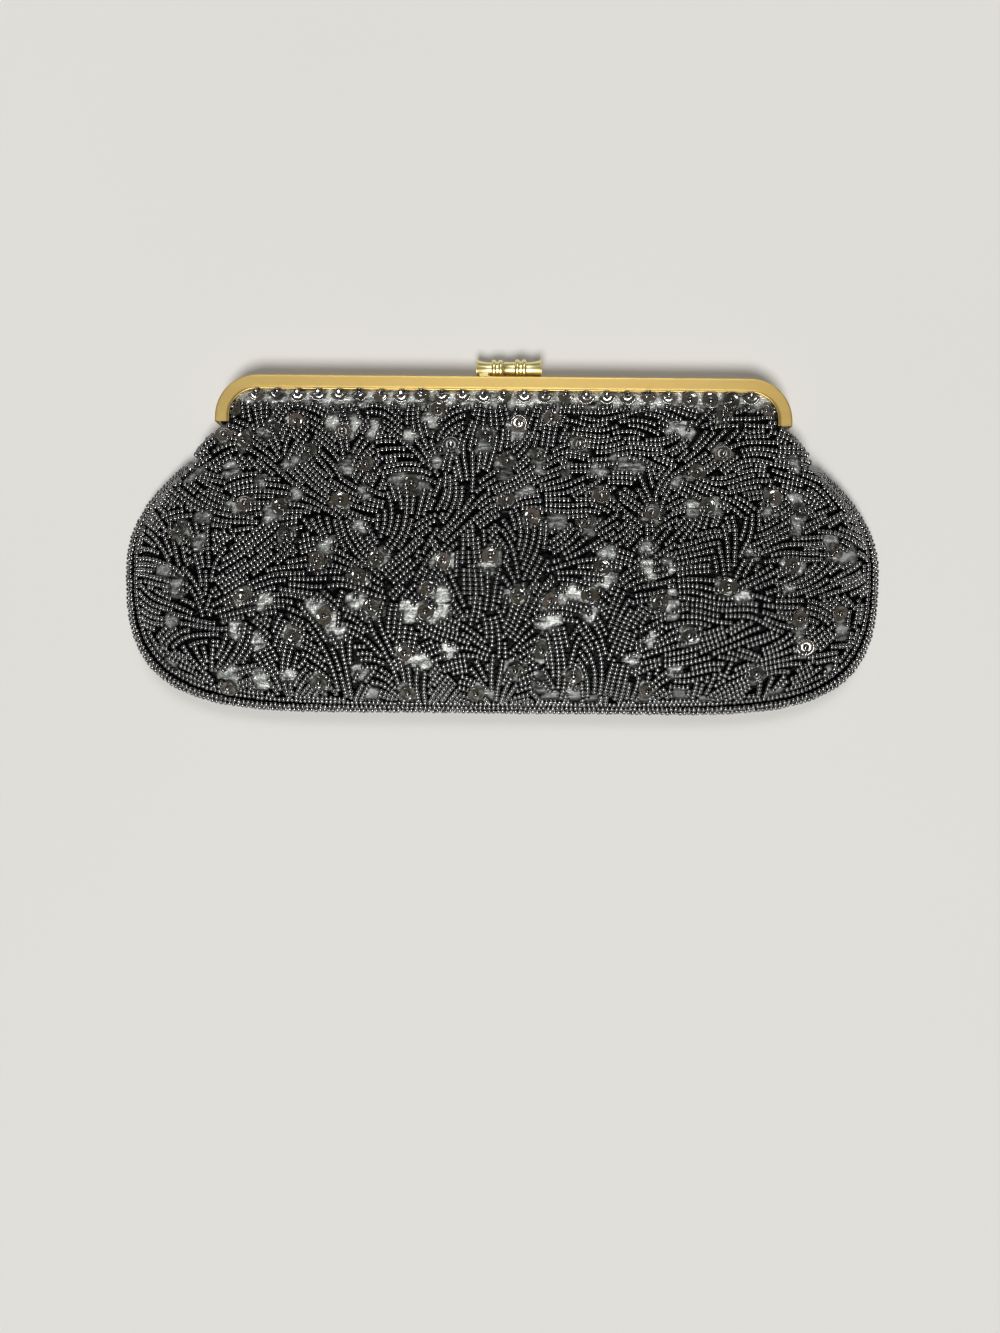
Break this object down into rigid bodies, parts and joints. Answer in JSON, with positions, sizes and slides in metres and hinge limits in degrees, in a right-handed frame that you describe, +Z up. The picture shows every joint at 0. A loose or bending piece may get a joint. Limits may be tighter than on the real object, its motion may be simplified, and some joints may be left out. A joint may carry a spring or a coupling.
{
  "type": "kiss lock frame purse",
  "caption": "Beaded evening clutch with a brass kiss lock frame, a turned spool clasp, black bead embroidery on satin and smoky sequins.",
  "frame": {"origin": "middle of the resting face: halfway across the bag and halfway from the bottom edge to the top of the clasp, on the surface that the bag lies on", "axes": "the bag lies on its back: +X across the bag along the frame, +Y from the bottom edge toward the clasp, +Z up, out of the front"},
  "size_m": [0.226, 0.1066, 0.0244],
  "materials": {
    "frame_brass": "satin, gold coloured",
    "knob_brass": "polished, gold coloured",
    "pin_brass": "dull",
    "cotton_cord": "twisted cotton",
    "black_beads": "glossy black glass seed beads",
    "black_satin": "black satin with a grey sheen",
    "stiff_cloth": "stiff woven interlining",
    "lining_cloth": "smooth lining cloth",
    "smoke_sequins": "glossy, smoky and slightly see-through"
  },
  "bodies": {
    "bag": {"back_frame": "frame_brass", "left_hinge_pin": "pin_brass", "right_hinge_pin": "pin_brass", "right_knob": "knob_brass", "right_knob_post": "knob_brass", "back_crimp_cord": "cotton_cord", "back_beadwork": "black_beads", "back_satin": "black_satin", "back_interlining": "stiff_cloth", "back_lining": "lining_cloth", "front_beadwork_body": "black_beads", "front_beadwork_fold": "black_beads", "front_satin_body": "black_satin", "front_satin_fold": "black_satin", "front_interlining_body": "stiff_cloth", "front_interlining_fold": "stiff_cloth", "front_lining_body": "lining_cloth", "front_lining_fold": "lining_cloth", "seam_beads": "black_beads", "front_sequins": "smoke_sequins"},
    "front_half": {"front_frame": "frame_brass", "left_knob": "knob_brass", "left_knob_post": "knob_brass", "front_crimp_cord": "cotton_cord", "front_beadwork_flap": "black_beads", "front_satin_flap": "black_satin", "front_interlining_flap": "stiff_cloth", "front_lining_flap": "lining_cloth", "frame_edge_sequins": "smoke_sequins"}
  },
  "joints": [
    {"name": "frame_hinge", "type": "hinge", "parent": "bag", "child": "front_half", "pos_m": [0, 0.0211, 0.0059], "axis": [1, 0, 0], "range_deg": [0, 70], "deforming": ["front_beadwork_fold", "front_satin_fold", "front_interlining_fold", "front_lining_fold"]}
  ]
}
